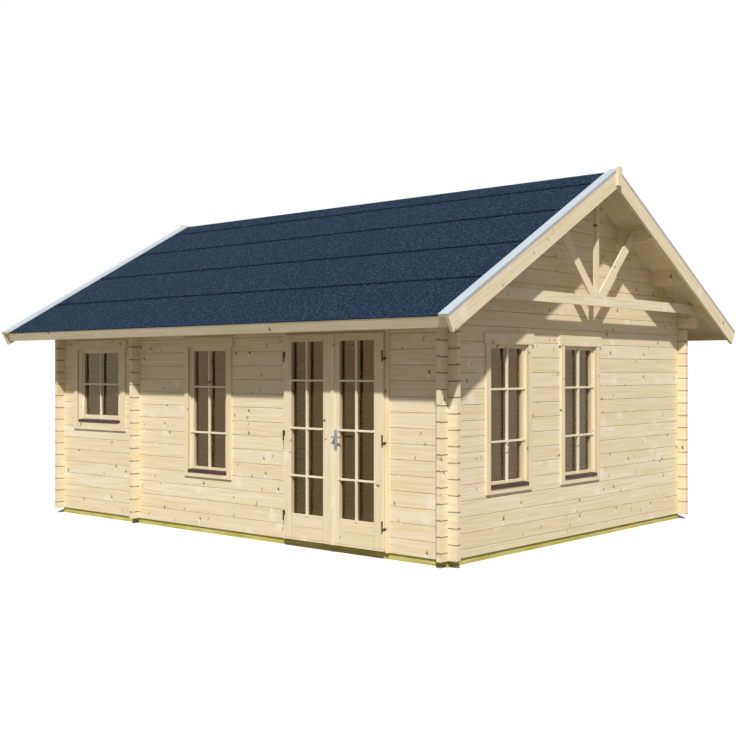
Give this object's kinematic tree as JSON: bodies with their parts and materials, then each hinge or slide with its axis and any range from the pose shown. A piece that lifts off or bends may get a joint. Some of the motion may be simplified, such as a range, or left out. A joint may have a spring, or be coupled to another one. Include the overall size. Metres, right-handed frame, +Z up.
{
  "type": "log cabin",
  "caption": "Log cabin with a felted gable roof, a deep overhang with open trusses, glazed double doors that swing outwards and tall paned windows.",
  "frame": {"origin": "on the ground under the middle of the roof: centre of the bounding box in X and Y, underside of the base beams in Z", "axes": "+X along the ridge towards the gable with the windows, -Y towards the long wall with the doors, +Z up"},
  "size_m": [6.442, 5.27, 3.5451],
  "materials": {
    "spruce": "planed, untreated spruce",
    "treated_timber": "pressure treated, yellow-green",
    "threshold_wood": "planed hardwood",
    "stained_wood": "dark brown stain",
    "roof_felt": "bitumen felt with dark blue mineral grit",
    "verge_metal": "light grey coating",
    "glass": "clear",
    "handle_metal": "satin",
    "hinge_metal": "dark bronze"
  },
  "bodies": {
    "cabin": {"back_barge_boards": "spruce", "back_felt": "roof_felt", "back_roof_boards": "spruce", "back_top_log": "spruce", "back_verge_battens": "spruce", "back_verge_trims": "verge_metal", "back_wall": "spruce", "door_casings": "spruce", "door_frame": "spruce", "end_base_beams": "treated_timber", "fascias": "spruce", "finials": "spruce", "floor_boards": "spruce", "floor_joists": "treated_timber", "front_barge_boards": "spruce", "front_felt": "roof_felt", "front_roof_boards": "spruce", "front_top_log": "spruce", "front_verge_battens": "spruce", "front_verge_trims": "verge_metal", "front_wall_left": "spruce", "front_wall_right": "spruce", "hinge_pins": "hinge_metal", "king_posts": "spruce", "left_gable_wall": "spruce", "long_base_beams": "treated_timber", "partition_back": "spruce", "partition_front": "spruce", "partition_head": "spruce", "purlins": "spruce", "ridge_purlin": "spruce", "right_gable_wall": "spruce", "struts": "spruce", "threshold": "threshold_wood", "tie_beams": "spruce", "wall_plates": "spruce", "window_casings": "spruce", "window_glass": "glass", "window_sashes": "spruce", "window_sills": "stained_wood"},
    "left_door": {"left_door_leaf": "spruce", "left_door_glass": "glass", "left_hinge_leaves": "hinge_metal"},
    "right_door": {"right_door_leaf": "spruce", "right_door_glass": "glass", "right_hinge_leaves": "hinge_metal", "door_cover_strip": "spruce", "door_handle": "handle_metal"}
  },
  "joints": [
    {"name": "left_door_hinge", "type": "hinge", "parent": "cabin", "child": "left_door", "pos_m": [0.907, -2.1565, 1.028], "axis": [0, 0, -1], "range_deg": [0, 110]},
    {"name": "right_door_hinge", "type": "hinge", "parent": "cabin", "child": "right_door", "pos_m": [2.121, -2.1565, 1.028], "axis": [0, 0, 1], "range_deg": [0, 110]}
  ]
}
